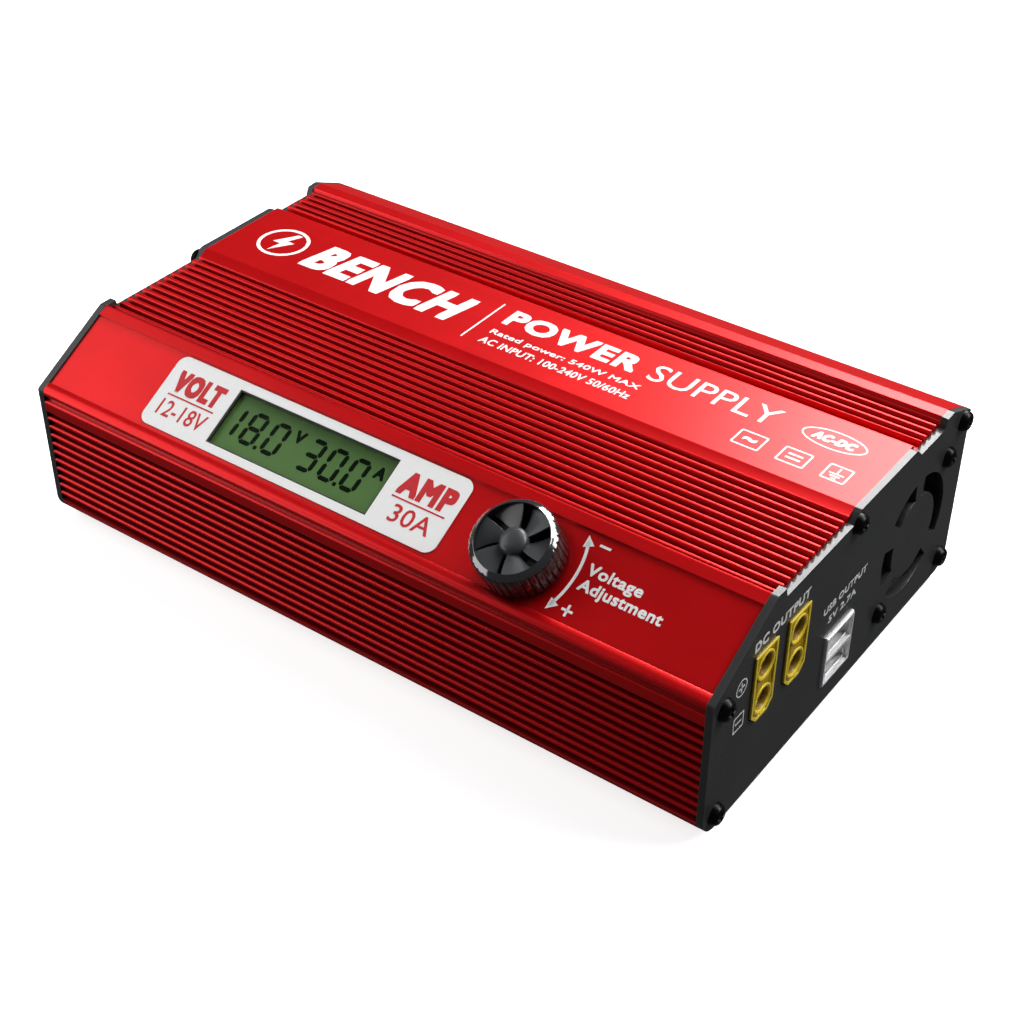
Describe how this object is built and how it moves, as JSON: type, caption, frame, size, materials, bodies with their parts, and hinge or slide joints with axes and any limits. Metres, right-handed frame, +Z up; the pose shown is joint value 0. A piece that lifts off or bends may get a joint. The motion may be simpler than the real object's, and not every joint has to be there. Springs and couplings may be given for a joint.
{
  "type": "bench dc power supply",
  "caption": "Flat ribbed red aluminium bench power supply with a sloped face holding a display and turbine knob, and black end plates with outlets, USB block and fan.",
  "frame": {"origin": "middle of the whole object's footprint, on the surface under its feet", "axes": "+X along the case to the outlet end, -Y towards the user, +Z up"},
  "size_m": [0.2234, 0.1328, 0.0663],
  "materials": {
    "case_red": "bright red anodised, satin, extruded ribs",
    "plate_black": "black anodised, satin",
    "screw_black": "black oxide, semi gloss",
    "foot_rubber": "matt rubber",
    "label_white": "white printed overlay",
    "display_glass": "clear window",
    "display_green": "olive green liquid crystal cell",
    "black_plastic": "black moulded plastic",
    "rocker_black": "polished black plastic",
    "knob_black": "glossy black moulded plastic",
    "steel": "plated steel",
    "socket_yellow": "amber yellow nylon",
    "contact_gold": "plated brass",
    "usb_metal": "bright plated steel",
    "usb_white": "white plastic",
    "fan_plastic": "black glass filled plastic",
    "copper": "enamelled copper wire",
    "board_green": "green solder mask",
    "ferrite": "dark ferrite",
    "tape_yellow": "yellow insulating tape and coating",
    "capacitor_sleeve": "dark blue sleeve",
    "heatsink": "plain extruded aluminium",
    "ceramic": "white ceramic",
    "relay_blue": "blue plastic",
    "lead_brown": "brown insulation",
    "lead_red": "red insulation",
    "lead_black": "black insulation"
  },
  "bodies": {
    "case": {"top_cover": "case_red", "lower_shell": "case_red", "output_end_plate": "plate_black", "input_end_plate": "plate_black", "output_plate_screws": "screw_black", "input_plate_screws": "screw_black", "rubber_feet": "foot_rubber", "front_label": "label_white", "lcd_glass": "display_glass", "lcd_cell": "display_green", "lcd_bezel": "black_plastic", "display_board": "board_green", "display_spacers": "steel", "display_screws": "steel", "pot_body": "steel", "pot_nut": "steel", "pot_washer": "steel", "dc_socket_a": "socket_yellow", "dc_socket_b": "socket_yellow", "dc_contacts": "contact_gold", "usb_shell": "usb_metal", "usb_tongues": "usb_white", "usb_contacts": "contact_gold", "ac_inlet_housing": "black_plastic", "ac_inlet_pins": "steel", "ac_inlet_screws": "screw_black", "switch_housing": "black_plastic", "switch_pivot": "steel", "switch_terminals": "contact_gold", "fan_frame": "fan_plastic", "fan_bearing": "contact_gold", "fan_stator": "copper", "fan_screws": "screw_black", "fan_nuts": "steel", "main_board": "board_green", "board_standoffs": "contact_gold", "board_screws": "steel", "transformer_core": "ferrite", "transformer_winding": "tape_yellow", "choke_core": "tape_yellow", "choke_winding": "copper", "line_filter_core": "ferrite", "line_filter_winding": "copper", "bulk_capacitors": "capacitor_sleeve", "output_capacitors": "capacitor_sleeve", "primary_heatsink": "heatsink", "secondary_heatsink": "heatsink", "power_transistors": "black_plastic", "bridge_rectifier": "black_plastic", "line_fuse": "ceramic", "inrush_relay": "relay_blue", "control_board": "board_green", "ac_leads": "lead_brown", "dc_leads": "lead_red", "fan_lead": "lead_black"},
    "knob_body": {"knob": "knob_black", "pot_shaft": "steel"},
    "rocker_body": {"switch_rocker": "rocker_black"},
    "rotor_body": {"fan_rotor": "fan_plastic", "fan_shaft": "steel"}
  },
  "joints": [
    {"name": "knob_turn", "type": "hinge", "parent": "case", "child": "knob_body", "pos_m": [0.0485, -0.0521, 0.05182], "axis": [0, -0.4841, 0.875], "range_deg": [0, 280]},
    {"name": "rocker_tilt", "type": "hinge", "parent": "case", "child": "rocker_body", "pos_m": [-0.108, -0.01081, 0.0305], "axis": [0, 1, 0], "range_deg": [-24, 0]},
    {"name": "fan_spin", "type": "hinge", "parent": "case", "child": "rotor_body", "pos_m": [0.1, 0.03919, 0.0292], "axis": [1, 0, 0], "continuous": true}
  ]
}
